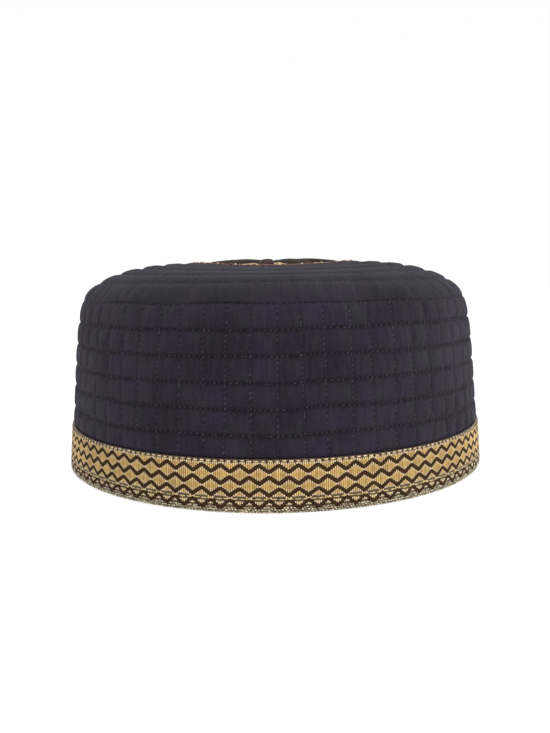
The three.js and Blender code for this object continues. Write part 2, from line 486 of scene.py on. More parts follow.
def settle_side():
    """Height of the side's padding on a grid, settled between its stitch lines."""
    across = (np.arange(CELLS * SIMULATED_PER_CELL) / SIMULATED_PER_CELL)[:, None]
    level = (np.arange(CHANNELS * SIMULATED_PER_CELL + 1) / SIMULATED_PER_CELL)[None, :]
    angle, height = quilt_place(across, np.minimum(level, CHANNELS - ON_LINE))
    padding = plain_padding(across, level)
    soft = wave_height(cloth_waves, angle, height) * swell(level)
    start = on_circle(side_radius(height) + padding + soft, angle, height)
    every_other_row = np.round(level * SIMULATED_PER_CELL) % 2 == 0
    on_upright = (nearest(across) < ON_LINE) & every_other_row
    settled = settle_cloth(start, on_upright | (nearest(level) < ON_LINE))
    radius = np.hypot(settled[..., 0], settled[..., 1])
    return np.clip(radius - side_radius(settled[..., 2]), 0, PADDING_LIMIT)


SIDE_PADDING = settle_side()


def side_relief(across, level, angle, height):
    """How far the padded cloth stands out from the outline."""
    padding = read_grid(SIDE_PADDING, across * SIMULATED_PER_CELL, level * SIMULATED_PER_CELL)
    from_level = nearest(level) * QUILT_PITCH
    from_upright = nearest(across) * QUILT_PITCH
    near_upright = bell(from_upright, UPRIGHT_PUCKER_REACH) * swell(level)
    puckers = beside_line(from_level) * wave_height(level_puckers, angle, height)
    puckers = puckers + near_upright * wave_height(upright_puckers, angle, height)
    upright_dip = UPRIGHT_DIP_SHARE * line_dip(from_upright) * swell(level)
    level_dip = seam_share(level) * line_dip(from_level)
    free = smooth_step(height, RIBBON_HEIGHT, RIBBON_HEIGHT + RIBBON_CLEARANCE)
    return (padding + puckers - upright_dip) * free - level_dip


def seam_share(level):
    """Share of a level line's depth and shade, which is lower at the seam."""
    return np.where(level > CHANNELS - 0.5, SEAM_DIP_SHARE, 1)


def side_point(across, level):
    angle, height = quilt_place(across, level)
    relief = side_relief(across, level, angle, height)
    return on_circle(side_radius(height) + relief, angle, height)


def add_side(material):
    columns = CELLS * COLUMNS_PER_CELL
    across = (np.arange(columns) / COLUMNS_PER_CELL)[:, None]
    shares = eased_shares(ROWS_PER_CHANNEL)
    levels = np.append((np.arange(CHANNELS)[:, None] + shares).ravel(), CHANNELS - ON_LINE)[None, :]
    outside = side_point(across, levels)
    angle, _ = quilt_place(across, np.zeros((1, 1)))
    foot = on_circle(FOOT_RADIUS, angle, FOOT_HEIGHT)
    inner_heights = np.linspace(SEAM_HEIGHT, FOOT_HEIGHT, INNER_SIDE_ROWS)[None, :]
    inside = on_circle(side_radius(inner_heights) - QUILT_THICKNESS, angle, inner_heights)
    points = np.concatenate([foot, outside, inside], axis=1)
    faces = ring_quads(columns, points.shape[1], closed=True).tolist()
    # Painted shade: how far the cloth's colour darkens along the stitch lines, where their valleys fall in
    # shade
    near_upright = UPRIGHT_SHADE * bell(nearest(across) * QUILT_PITCH, LINE_DIP_WIDTH)
    near_level = bell(nearest(levels) * QUILT_PITCH, SHADE_WIDTH) * seam_share(levels)
    valley = np.zeros(points.shape[:2])
    valley[:, 1:1 + levels.size] = np.maximum(near_level, near_upright)
    return add_piece("quilted_side", points, faces, material, "quilted_side", valley=valley)


# Outline of the top

def top_height(radius):
    rise = np.clip(1 - (radius / SEAM_RADIUS) ** TOP_FULLNESS, 0, 1) ** SHOULDER_RISE
    return blend(TOP_FOOT_HEIGHT, CREST_HEIGHT, rise)


def trace_top():
    """Distance from the seam, radius, height and outward direction along the top's outline."""
    whole_turn = math.acos((ROSETTE_RADIUS / SEAM_RADIUS) ** (TOP_FULLNESS / 2))
    share = np.linspace(0, 1, TRACE_STEPS)
    radius = SEAM_RADIUS * np.cos(share * whole_turn) ** (2 / TOP_FULLNESS)
    height = top_height(radius)
    steps = np.hypot(np.diff(radius), np.diff(height))
    distance = np.append(0, np.cumsum(steps))
    inwards, rising = np.gradient(radius, distance), np.gradient(height, distance)
    return distance, radius, height, rising, -inwards


TOP_TRACE = trace_top()
TOP_LENGTH = float(TOP_TRACE[0][-1])
RINGS = max(1, round(TOP_LENGTH / QUILT_PITCH))

ring_waves = [
    draw_waves(count=4, fewest=2, most=15, slope=0, depth=0.2 * MM) for _ in range(RINGS + 1)
]
top_waves = draw_waves(count=26, fewest=5, most=44, slope=190, depth=0.23 * MM)
shoulder_waves = draw_waves(count=10, fewest=40, most=90, slope=25, depth=0.14 * MM)
ring_puckers = draw_waves(count=12, fewest=110, most=210, slope=120, depth=0.1 * MM)


def top_outline(distance):
    """Radius, height and outward direction at a distance from the seam."""
    return (np.interp(distance, TOP_TRACE[0], part) for part in TOP_TRACE[1:])


def front_share(angle):
    """1 at the front, fading to 0 at the left and the right."""
    return np.maximum(0, -np.sin(angle)) ** 2


def front_ease(angle):
    """Share of a ring's hold, dip and puckers that is left at an angle."""
    return 1 - FRONT_EASE * front_share(angle)


def sag(radius, angle):
    """The soft top sinks towards the front, between the seam and the rosette's middle."""
    outside = 1 - smooth_step(radius, SAG_FULL_RADIUS, SAG_OUTER_RADIUS)
    inside = smooth_step(radius, ROSETTE_RADIUS / 3, ROSETTE_RADIUS)
    return FRONT_SAG * front_share(angle) * outside * inside


def settle_top():
    """Height of the top's padding on a grid, settled between its rings of stitches."""
    columns = CELLS * SIMULATED_PER_CELL
    angle = (np.arange(columns) / columns * TAU)[:, None]
    ring = (np.arange(RINGS * SIMULATED_PER_CELL + 1) / SIMULATED_PER_CELL)[None, :]
    distance = ring * TOP_LENGTH / RINGS
    radius, height, out, up = top_outline(distance)
    soft = wave_height(top_waves, angle, distance) + wave_height(shoulder_waves, angle, distance)
    hold = blend(SHOULDER_HOLD, RING_HOLD * front_ease(angle), smooth_step(ring, 1, FIRST_FULL_RING))
    padding = TOP_PUFF * (1 - hold * (1 - swell(ring))) + soft * swell(ring)
    start = on_circle(radius + out * padding, angle, height + up * padding)
    settled = settle_cloth(start, np.broadcast_to(nearest(ring) < ON_LINE, start.shape[:2]))
    moved_out = np.hypot(settled[..., 0], settled[..., 1]) - radius
    moved_up = settled[..., 2] - height
    return np.clip(moved_out * out + moved_up * up, 0, PADDING_LIMIT)


TOP_PADDING = settle_top()


def top_point(ring, angle, lift=0.0):
    """A point of the ringed cloth, from ring 0 at the seam to RINGS at the rosette's edge."""
    ring, angle = np.broadcast_arrays(ring, angle)
    lower = np.clip(np.floor(ring), 0, RINGS - 1).astype(int)
    wobbles = [wave_height(waves, angle, 0) for waves in ring_waves]
    wobble = blend(np.choose(lower, wobbles), np.choose(lower + 1, wobbles), ring - lower)
    held = smooth_step(ring, 0, 1) * (1 - smooth_step(ring, RINGS - 1, RINGS))
    distance = ring * TOP_LENGTH / RINGS + wobble * held
    radius, height, out, up = top_outline(distance)
    from_ring = nearest(ring) * TOP_LENGTH / RINGS
    columns = TOP_PADDING.shape[0]
    padding = read_grid(TOP_PADDING, angle / TAU * columns % columns, ring * SIMULATED_PER_CELL)
    puckers = beside_line(from_ring) * wave_height(ring_puckers, angle, distance) * front_ease(angle)
    dip = RING_DIP_SHARE * front_ease(angle) * line_dip(from_ring)
    relief = padding + puckers - dip + lift
    seam_wobble = wave_height(level_waves[CHANNELS], angle, 0) - SEAM_CLOSING
    height = height + seam_wobble * (1 - smooth_step(ring, 0, 0.5))
    radius = radius + out * relief
    return on_circle(radius, angle, height + up * relief - sag(radius, angle))


def leaf_share(radius, petal):
    """Half width of a leaf, as a share of half its sector."""
    along = np.clip(radius / ROSETTE_RADIUS, 0, 1)
    width = np.maximum(1e-3, np.sin(np.pi * along ** LEAF_REACH)) ** LEAF_FULLNESS
    return np.choose(petal % 2, LEAF_SHARES) * width


def rosette_point(radius, angle, lift=0.0):
    radius, angle = np.broadcast_arrays(radius, angle)
    sector = (angle - PETAL_TURN) / TAU * PETAL_COUNT
    aside = np.abs(sector % 1 - 0.5) * 2 / leaf_share(radius, np.floor(sector).astype(int))
    along = np.clip(radius / ROSETTE_RADIUS, 0, 1)
    padding = np.sqrt(np.maximum(0, 1 - aside ** 2)) * np.sin(np.pi * along) ** LEAF_FULLNESS
    soft = wave_height(top_waves, angle, radius) * smooth_step(radius, 0, ROSETTE_RADIUS) * 0.5
    edge = smooth_step(radius, ROSETTE_RADIUS - 2 * MM, ROSETTE_RADIUS)
    height = top_height(radius) + PETAL_PUFF * padding + soft * (1 - edge) - sag(radius, angle)
    return on_circle(radius, angle, height - edge * LINE_DIP + lift)


def add_top(material):
    angle = (np.arange(TOP_COLUMNS) / TOP_COLUMNS * TAU)[:, None]
    inner_radii = INNER_TOP_SHARES * (SEAM_RADIUS - QUILT_THICKNESS)
    inner_heights = top_height(inner_radii) - QUILT_THICKNESS - sag(inner_radii, angle)
    under = on_circle(inner_radii, angle, inner_heights)
    lip_height = TOP_FOOT_HEIGHT + wave_height(level_waves[CHANNELS], angle, 0)
    lip = on_circle(SEAM_RADIUS - QUILT_THICKNESS, angle, lip_height)
    rings = (np.arange(RINGS)[:, None] + eased_shares(ROWS_PER_RING)).ravel()[None, :]
    radii = np.linspace(ROSETTE_RADIUS, ROSETTE_MIDDLE / 2, ROSETTE_ROWS)[None, :]
    points = np.concatenate([under, lip, top_point(rings, angle), rosette_point(radii, angle)], axis=1)
    rows = points.shape[1]
    faces = ring_quads(TOP_COLUMNS, rows, closed=False).tolist()
    first = np.arange(TOP_COLUMNS) * rows
    following = np.roll(first, -1)
    under_middle = np.full(TOP_COLUMNS, points.shape[0] * rows)
    faces += np.stack([following, first, under_middle], axis=-1).tolist()
    faces += np.stack([first + rows - 1, following + rows - 1, under_middle + 1], axis=-1).tolist()
    middles = np.array([(0, 0, CREST_HEIGHT - QUILT_THICKNESS), (0, 0, CREST_HEIGHT)])
    # Painted shade along the rings and the seam, as on the side
    near_ring = bell(nearest(rings) * TOP_LENGTH / RINGS, LINE_DIP_WIDTH)
    first_row = under.shape[1] + 1
    valley = np.zeros(points.shape[:2])
    shade = np.where(rings < 0.5, SEAM_DIP_SHARE, RING_SHADE)
    valley[:, first_row:first_row + rings.size] = shade * near_ring
    points = np.concatenate([points.reshape(-1, 3), middles])
    valley = np.append(valley.ravel(), [0, 0])
    return add_piece("quilted_top", points, faces, material, "quilted_top", valley=valley)


# Stitches of the quilting

def draw_halves(count):
    """How far each of some stitches reaches from its middle, along its line and across it."""
    half = STITCH_LENGTH / 2 * dice.uniform(*STITCH_UNEVENNESS, count)
    return half * math.cos(STITCH_SLANT), half * math.sin(STITCH_SLANT)


def draw_round(radius):
    """Stitches of one round: places as shares of the way round, and how far each reaches."""
    count = round(TAU * radius / STITCH_PITCH)
    share = (np.arange(count) + dice.normal(0, STITCH_DRIFT, count)) / count
    return share, *draw_halves(count)


def add_level_stitches(material):
    starts, ends = [], []
    for level in range(1, CHANNELS + 1):
        radius = float(side_radius(blend(QUILT_FOOT_HEIGHT, SEAM_HEIGHT, level / CHANNELS)))
        share, along, rise = draw_round(radius)
        across, along, rise = share * CELLS, along / QUILT_PITCH, rise / QUILT_PITCH
        starts.append(side_point(across - along, level - rise))
        ends.append(side_point(across + along, level + rise))
    starts, ends = np.concatenate(starts), np.concatenate(ends)
    return add_strands("level_stitches", starts, ends, radial(starts + ends), QUILT_THREAD,
                       material, "navy_thread")


def add_upright_stitches(material):
    count = round(CHANNELS * QUILT_PITCH / STITCH_PITCH)
    line = np.repeat(np.arange(CELLS), count)
    place = np.tile(np.arange(count) + 0.5, CELLS) + dice.normal(0, STITCH_DRIFT, CELLS * count)
    level = place / count * CHANNELS
    rise, aside = (reach / QUILT_PITCH for reach in draw_halves(len(level)))
    shown = level > (RIBBON_HEIGHT - QUILT_FOOT_HEIGHT) / QUILT_PITCH + rise
    line, level, aside, rise = line[shown], level[shown], aside[shown], rise[shown]
    starts = side_point(line - aside, level - rise)
    ends = side_point(line + aside, level + rise)
    return add_strands("upright_stitches", starts, ends, radial(starts + ends), QUILT_THREAD,
                       material, "navy_thread")


def add_ring_stitches(material):
    starts, ends = [], []
    for ring in range(1, RINGS):
        radius = float(next(top_outline(ring * TOP_LENGTH / RINGS)))
        share, along, inwards = draw_round(radius)
        angle, turn, inwards = share * TAU, along / radius, inwards * RINGS / TOP_LENGTH
        starts.append(top_point(ring - inwards, angle - turn))
        ends.append(top_point(ring + inwards, angle + turn))
    starts, ends = np.concatenate(starts), np.concatenate(ends)
    outwards = ((starts + ends) / 2 - DOME_CENTRE) * DOME_FLATNESS
    return add_strands("ring_stitches", starts, ends, outwards, QUILT_THREAD, material, "navy_thread")


# Ribbon

ribbon_waves = draw_waves(count=8, fewest=2, most=12, slope=0, depth=0.06 * MM)


def ribbon_radius(height):
    """Outside of the ribbon above its fold, drawn in along the hem's stitches."""
    dip = HEM_DIP * bell(height - HEM_HEIGHT, HEM_DIP_WIDTH)
    return side_radius(height) + SEWN_GAP + RIBBON_THICKNESS - dip


def ribbon_point(angle, height, lift=0.0):
    loose = 1 - smooth_step(height, RIBBON_SWAY_HEIGHT, RIBBON_HEIGHT)
    sway = wave_height(ribbon_waves, angle, 0) * loose
    return on_circle(ribbon_radius(height) + sway + lift, angle, height)


def add_ribbon(material):
    columns = ZIGZAG_COUNT * RIBBON_COLUMNS_PER_ZIGZAG
    angle = (np.arange(columns) / columns * TAU)[:, None]
    rising = np.linspace(FOLD_TOP, RIBBON_HEIGHT - EDGE_ROUNDING, RIBBON_ROWS)
    outside = ribbon_point(angle, np.append(FOOT_HEIGHT, rising)[None, :])
    inner_foot = FOOT_RADIUS - QUILT_THICKNESS - SEWN_GAP
    inner_edge = float(side_radius(RIBBON_TURN_IN)) - QUILT_THICKNESS - SEWN_GAP
    fold_inside = inner_foot - RIBBON_THICKNESS
    top_radius = float(ribbon_radius(RIBBON_HEIGHT))
    corner_in, corner_up = FOLD_CORNER_IN * FOLD_ROUNDING, FOLD_CORNER_UP * FOLD_ROUNDING
    fold_section = np.array([
        (fold_inside + FOLD_ROUNDING, 0),
        (RIM_RADIUS - FOLD_ROUNDING, 0),
        (RIM_RADIUS - corner_in, corner_up),
    ])
    inner_section = np.array([
        (top_radius - EDGE_ROUNDING, RIBBON_HEIGHT),
        (top_radius - RIBBON_THICKNESS, RIBBON_HEIGHT),
        (FOOT_RADIUS + SEWN_GAP, RIBBON_THICKNESS),
        (inner_foot, RIBBON_THICKNESS),
        (inner_edge, RIBBON_TURN_IN),
        (inner_edge - RIBBON_THICKNESS, RIBBON_TURN_IN),
        (fold_inside, FOOT_HEIGHT),
        (fold_inside + corner_in, corner_up),
    ])
    fold = on_circle(fold_section[:, 0], angle, fold_section[:, 1])
    inside = on_circle(inner_section[:, 0], angle, inner_section[:, 1])
    points = np.concatenate([fold, outside, inside], axis=1)
    faces = ring_quads(columns, points.shape[1], closed=True).tolist()
    return add_piece("woven_ribbon", points, faces, material, "gold_ribbon")


def zigzag_height(line, angle):
    """Middle of a dark zigzag. Neighbouring ones point opposite ways."""
    phase = (angle - ZIGZAG_START) * ZIGZAG_COUNT + math.pi * (line % 2)
    fall = np.arccos(ZIGZAG_SHARPNESS * np.cos(phase)) / math.pi
    return ZIGZAG_PEAKS[line] - ZIGZAG_DEPTH * fall


def add_zigzags(material):
    columns = ZIGZAG_COUNT * ZIGZAG_STEPS
    angle = np.arange(columns) / columns * TAU
    turn = np.arange(ZIGZAG_SIDES) * TAU / ZIGZAG_SIDES
    points, faces = [], []
    for line in range(len(ZIGZAG_PEAKS)):
        middle = ribbon_point(angle, zigzag_height(line, angle), ZIGZAG_LIFT)
        run = unit(np.roll(middle, -1, axis=0) - np.roll(middle, 1, axis=0))
        outwards = radial(middle)
        sideways = unit(np.cross(outwards, run))
        section = (np.cos(turn)[None, :, None] * sideways[:, None] * ZIGZAG_WIDTH / 2
                   + np.sin(turn)[None, :, None] * outwards[:, None] * ZIGZAG_THICKNESS / 2)
        points.append((middle[:, None] + section).reshape(-1, 3))
        quads = ring_quads(columns, ZIGZAG_SIDES, closed=True)[:, ::-1]
        faces += (quads + line * columns * ZIGZAG_SIDES).tolist()
    return add_piece("dark_zigzags", np.concatenate(points), faces, material, "dark_thread")


def add_floats(material):
    """The ribbon's upright gold threads, which fill what the zigzags leave between them."""
    angle = (np.arange(FLOAT_COUNT) + 0.5) / FLOAT_COUNT * TAU
    lines = [zigzag_height(k, angle) for k in range(len(ZIGZAG_PEAKS))]
    tops = [np.full(FLOAT_COUNT, FLOATS_TOP)] + [line - FLOAT_MARGIN for line in lines]
    feet = [line + FLOAT_MARGIN for line in lines] + [np.full(FLOAT_COUNT, FLOATS_FOOT)]
    spans = []
    for foot, top in zip(feet, tops):
        crossing = (foot < HEM_GAP_FOOT) & (top > HEM_GAP_TOP)
        spans.append((angle, foot, np.where(crossing, HEM_GAP_FOOT, top)))
        spans.append((angle[crossing], np.full(crossing.sum(), HEM_GAP_TOP), top[crossing]))
    angle, foot, top = (np.concatenate(part) for part in zip(*spans))
    long_enough = top - foot > SHORTEST_FLOAT
    angle, foot, top = angle[long_enough], foot[long_enough], top[long_enough]
    foot = foot + dice.uniform(-FLOAT_UNEVENNESS, FLOAT_UNEVENNESS, len(foot))
    top = top + dice.uniform(-FLOAT_UNEVENNESS, FLOAT_UNEVENNESS, len(top))
    pale = 1 - smooth_step(top - foot, *PALE_LENGTHS)
    return add_ribbon_threads("gold_floats", (angle, foot), (angle, top), FLOAT_THREAD,
                              material, "gold_ribbon", pale)


def add_ribbon_threads(name, start, end, thread, material, slot, pale=0.0):
    """Threads on the ribbon from one place to another, each given as angles and heights."""
    starts, ends = (ribbon_point(*place, thread.lift) for place in (start, end))
    return add_strands(name, starts, ends, radial(starts + ends), thread, material, slot, pale)


def round_rim(pitch, first=0.0):
    """Angles of places round the rim, about a pitch apart and turned on by a share of it."""
    count = round(TAU * RIM_RADIUS / pitch)
    return (np.arange(count) + first) / count * TAU


def add_hem_stitches(material):
    angle = round_rim(HEM_STITCH_PITCH)
    half = HEM_STITCH_LENGTH / 2 / RIM_RADIUS
    height = HEM_HEIGHT + dice.normal(0, HEM_UNEVENNESS, angle.size)
    return add_ribbon_threads("hem_stitches", (angle - half, height), (angle + half, height),
                              HEM_THREAD, material, "gold_thread")


def add_selvage_loops(material):
    """Threads along the ribbon's upper edge."""
    angle = round_rim(SELVAGE_PITCH)
    half = LOOP_SHARE / 2 * SELVAGE_PITCH / RIM_RADIUS * dice.uniform(*LOOP_UNEVENNESS, angle.size)
    height = LOOP_HEIGHT + dice.normal(0, LOOP_STRAY, angle.size)
    return add_ribbon_threads("selvage_loops", (angle - half, height), (angle + half, height),
                              LOOP_THREAD, material, "gold_thread")


def add_selvage_ticks(material):
    """Short dark threads that part the loops of the upper edge."""
    angle = round_rim(SELVAGE_PITCH, first=0.5)
    return add_ribbon_threads("selvage_ticks", (angle, TICK_FOOT), (angle, TICK_TOP),
                              TICK_THREAD, material, "dark_thread")


def add_fold_threads(material):
    """Loose speckled weave along the fold that the cap stands on."""
    columns = round(TAU * RIM_RADIUS / FOLD_THREAD_PITCH)
    count = len(FOLD_THREAD_ROWS) * columns
    stray = dice.uniform(-FOLD_THREAD_STRAY, FOLD_THREAD_STRAY, count)
    angle = (np.arange(count) + stray) / count * TAU
    height = np.tile(FOLD_THREAD_ROWS, columns) + dice.uniform(*FOLD_THREAD_SHIFTS, count)
    turn = dice.uniform(*FOLD_THREAD_HALVES, count) / RIM_RADIUS
    rise = dice.uniform(-FOLD_THREAD_RISE, FOLD_THREAD_RISE, count)
    starts = ribbon_point(angle - turn, np.maximum(height - rise, FOOT_HEIGHT), FOLD_THREAD.lift)
    ends = ribbon_point(angle + turn, np.maximum(height + rise, FOOT_HEIGHT), FOLD_THREAD.lift)
    starts[:, 2], ends[:, 2] = height - rise, height + rise
    return add_strands("fold_threads", starts, ends, radial(starts + ends), FOLD_THREAD,
                       material, "gold_thread")


# Rosette embroidery

def path_point(radius, angle):
    """The rosette inside its edge and the ringed cloth outside it."""
    inside = rosette_point(np.minimum(radius, ROSETTE_RADIUS), angle, ROPE_LIFT)
    distance = np.interp(-radius, -TOP_TRACE[1], TOP_TRACE[0])
    outside = top_point(distance * RINGS / TOP_LENGTH, angle, ROPE_LIFT)
    return np.where((radius <= ROSETTE_RADIUS)[:, None], inside, outside)


def rope(radius, angle, pitch):
    """Ends of the slanted strands of a cord that follows a path over the rosette."""
    path = path_point(radius, angle)
    steps = np.linalg.norm(np.diff(path, axis=0), axis=1)
    distance = np.append(0, np.cumsum(steps))
    count = max(2, round(distance[-1] / pitch))
    places = (np.arange(count) + 0.5) / count * distance[-1]

    def read_path(at):
        return np.stack([np.interp(at, distance, path[:, k]) for k in range(3)], axis=-1)

    centres = read_path(places)
    run = unit(read_path(places + pitch / 2) - read_path(places - pitch / 2))
    sideways = unit(np.cross([0, 0, 1], run))
    half = ROPE_OVERLAP * pitch / 2 * (math.cos(ROPE_SLANT) * run + math.sin(ROPE_SLANT) * sideways)
    return centres - half, centres + half


def leaf_edge(petal, side, share, steps=60):
    """Path along one edge of a leaf, or along its middle where the share is 0."""
    radius = np.linspace(ROSETTE_MIDDLE, LEAF_TIP_RADIUS, steps)
    half_sector = math.pi / PETAL_COUNT
    middle = PETAL_TURN + (petal + 0.5) * TAU / PETAL_COUNT
    return radius, middle + side * share * leaf_share(radius, petal) * half_sector


def ring_path(radius, steps=400):
    angle = np.linspace(0, TAU, steps)
    return np.full(steps, radius), angle


def zigzag_path(petal, steps_per_corner=8):
    """Path of the zigzag between two leaves."""
    corner = np.arange(CORNER_COUNT)
    radius = np.linspace(*CORNER_RADII, CORNER_COUNT)
    boundary = PETAL_TURN + petal * TAU / PETAL_COUNT
    half_sector = math.pi / PETAL_COUNT
    before, after = leaf_share(radius, petal - 1), leaf_share(radius, petal)
    room = (2 - before - after) / 2 * half_sector * CORNER_ROOM
    turn = room * np.where(corner % 2, 1, -1) + (before - after) / 2 * half_sector
    fine = np.linspace(0, CORNER_COUNT - 1, CORNER_COUNT * steps_per_corner)
    return np.interp(fine, corner, radius), boundary + np.interp(fine, corner, turn)


def add_ropes(name, paths, width, pitch, material, slot):
    ends = [rope(radius, angle, pitch) for radius, angle in paths]
    starts, stops = (np.concatenate(part) for part in zip(*ends))
    return add_strands(name, starts, stops, upwards(len(starts)), Thread(width, width), material, slot)


def add_satin(name, petals, material, slot):
    """Satin stitches that fill a leaf, slanting out from its middle to its edge."""
    starts, ends = [], []
    for petal in petals:
        for side in (-1, 1):
            radius, middle = leaf_edge(petal, side, 0.0, SATIN_STEPS)
            outer = np.minimum(radius + SATIN_SLANT, SATIN_END_RADIUS)
            _, outer_edge = leaf_edge(petal, side, SATIN_EDGE, SATIN_STEPS)
            aim = np.interp(outer, radius, outer_edge)
            starts.append(rosette_point(radius, middle, SATIN_THREAD.lift))
            ends.append(rosette_point(outer, aim, SATIN_END_LIFT))
    starts, ends = np.concatenate(starts), np.concatenate(ends)
    return add_strands(name, starts, ends, upwards(len(starts)), SATIN_THREAD, material, slot)


def add_knots(name, radius, count, size, material, slot):
    angle = PETAL_TURN + (np.arange(count) + 0.5) / count * TAU
    centres = path_point(np.full(count, radius), angle)
    along = np.stack([-np.sin(angle), np.cos(angle), np.zeros(count)], axis=-1) * size / 2
    thread = Thread(size, KNOT_FLATNESS * size)
    return add_strands(name, centres - along, centres + along, upwards(count), thread, material, slot)


# Materials

# Painted shade: the colour that the cloth darkens to along its stitch valleys
NAVY_GROOVE_SHADE = (0.003, 0.002, 0.004)
VALLEY_SHADE = 0.62       # share of that painted shade colour at the bottom of a valley
SHEEN_TINT = (0.95, 0.94, 1)
COTTON_THREAD = 0.55 * MM
WEAVE_RADIUS = 88 * MM    # where the threads that run round the cap have their real spacing
RIBBON_PICK = 0.8 * MM
RIBBON_DARK = (0.03, 0.018, 0.01)
RIBBON_LIGHT = (0.22, 0.135, 0.05)
FLOOR_DARK = (0.35, 0.35, 0.35)
FLOOR_LIGHT = (0.38, 0.38, 0.38)
FLOOR_GLOW = 0.72         # a sweep that is lit from behind, as for a product on white


class Surface:
    """A new material and short ways to build up its shader."""

    def __init__(self, name, **constants):
        self.material = bpy.data.materials.new(name)
        self.material.use_nodes = True
        self.shader = self.material.node_tree.nodes["Principled BSDF"]
        self.place = self.add("ShaderNodeTexCoord").outputs["Object"]
        for key, value in constants.items():
            self.fill(self.shader.inputs[key.replace("_", " ")], value)

    def fill(self, socket, value):
        """Links a socket to another one or gives it a constant."""
        if isinstance(value, bpy.types.NodeSocket):
            self.material.node_tree.links.new(value, socket)
        elif socket.type == "RGBA":
            socket.default_value = (*value, 1)
        else:
            socket.default_value = value

    def add(self, kind, inputs=None, **settings):
        node = self.material.node_tree.nodes.new(kind)
        for key, value in settings.items():
            setattr(node, key, value)
        for socket, value in (inputs or {}).items():
            self.fill(node.inputs[socket], value)
        return node

    def maths(self, operation, *values):
        return self.add("ShaderNodeMath", dict(enumerate(values)), operation=operation).outputs[0]

    def weighted(self, *terms):
        """Sum of values that are each given with a weight."""
        total = 0.0
        for value, weight in terms:
            total = self.maths("MULTIPLY_ADD", value, weight, total)
        return total

    def ripple(self, value, turns):
        """Sine of a value that is first multiplied."""
        return self.maths("SINE", self.maths("MULTIPLY", value, turns))

    def attribute(self, name):
        return self.add("ShaderNodeAttribute", attribute_name=name).outputs["Fac"]

    def round_cap(self):
        """Parts of the position, and the angle round the cap."""
        parts = self.add("ShaderNodeSeparateXYZ", {0: self.place}).outputs
        return parts, self.maths("ARCTAN2", parts["Y"], parts["X"])

    def noise(self, size, detail=2.0, place=None):
        """Soft random spots of about a size in metres, from 0 to 1."""
        inputs = {"Vector": place or self.place, "Scale": 1 / size, "Detail": detail}
        return self.add("ShaderNodeTexNoise", inputs).outputs["Fac"]

    def spread(self, value, low, high):
        """Stretches a value between low and high to run from 0 to 1."""
        inputs = {"Value": value, "From Min": low, "From Max": high}
        return self.add("ShaderNodeMapRange", inputs).outputs["Result"]

    def mix(self, share, first, second):
        inputs = {"Factor": share, 6: first, 7: second}
        return self.add("ShaderNodeMix", inputs, data_type="RGBA").outputs[2]

    def colour(self, value):
        self.fill(self.shader.inputs["Base Color"], value)

    def bump(self, height, depth):
        inputs = {"Height": height, "Distance": depth, "Strength": 1.0}
        bump = self.add("ShaderNodeBump", inputs)
        self.fill(self.shader.inputs["Normal"], bump.outputs["Normal"])


def navy_cloth(name, dark, light, greyed, wound):
    """Fine dark cotton. A wound one has its threads round the cap, the other straight across it."""
    cloth = Surface(name, Roughness=0.9, Sheen_Weight=0.035, Sheen_Roughness=0.5,
                    Sheen_Tint=SHEEN_TINT, Specular_IOR_Level=0.2)
    parts, turn = cloth.round_cap()
    around = cloth.maths("MULTIPLY", turn, WEAVE_RADIUS) if wound else parts["X"]
    along = parts["Z"] if wound else parts["Y"]
    warp = cloth.ripple(around, TAU / COTTON_THREAD)
    weft = cloth.ripple(along, TAU / COTTON_THREAD)
    weave = cloth.maths("MULTIPLY", warp, weft)
    drawn = cloth.add("ShaderNodeCombineXYZ", {"X": around, "Y": cloth.maths("MULTIPLY", along, 0.12)})
    streaks = cloth.noise(1.1 * MM, place=drawn.outputs[0])
    worn = cloth.noise(22 * MM, detail=3.0)
    fibre = cloth.noise(0.9 * MM)
    shade = cloth.weighted((worn, 0.45), (fibre, 0.25), (streaks, 0.3), (weave, 0.06))
    cast = cloth.spread(cloth.noise(8 * MM), 0.35, 0.65)
    base = cloth.mix(cloth.spread(shade, 0.35, 0.65), dark, cloth.mix(cast, light, greyed))
    # Painted shade along the stitch valleys, read from the cloth's valley attribute
    groove_shade_share = cloth.maths("MULTIPLY", cloth.attribute("valley"), VALLEY_SHADE)
    cloth.colour(cloth.mix(groove_shade_share, base, NAVY_GROOVE_SHADE))
    cloth.bump(cloth.weighted((weave, 0.5), (fibre, 1.0)), 0.09 * MM)
    return cloth.material


def thread_material(name, dark, light, roughness, sheen=0.0, metallic=0.0, gloss=0.5, tip_colour=None):
    """Twisted thread, a little different in tone from one stitch to the next."""
    thread = Surface(name, Roughness=roughness, Sheen_Weight=sheen, Sheen_Roughness=0.4,
                     Metallic=metallic, Specular_IOR_Level=gloss)
    fibre = thread.noise(0.35 * MM, detail=3.0)
    shade = thread.weighted((thread.attribute("tone"), 0.5), (fibre, 0.5))
    base = thread.mix(thread.spread(shade, 0.15, 0.85), dark, light)
    # The tip colour is partly painted highlight, where light catches a float's ends, and partly the cream of
    # the shortest floats
    if tip_colour:
        base = thread.mix(thread.spread(thread.attribute("tip"), 0.2, 1.0), base, tip_colour)
    thread.colour(base)
    thread.bump(fibre, 0.12 * MM)
    return thread.material


def ribbon_ground():
    """The ribbon's own weave, which shows between its floats, at its edges and inside the cap."""
    ground = Surface("ribbon_ground", Roughness=0.5, Sheen_Weight=0.2, Sheen_Roughness=0.4, Metallic=0.15)
    parts, turn = ground.round_cap()
    rib = ground.ripple(turn, FLOAT_COUNT)
    pick = ground.ripple(parts["Z"], TAU / RIBBON_PICK)
    weave = ground.maths("MULTIPLY", rib, pick)
    mottle = ground.noise(1.1 * MM)
    shade = ground.weighted((weave, 0.22), (mottle, 1.0))
    ground.colour(ground.mix(ground.spread(shade, 0.35, 0.8), RIBBON_DARK, RIBBON_LIGHT))
    ground.bump(ground.weighted((weave, 1.0), (mottle, 1.0)), 0.15 * MM)
    return ground.material


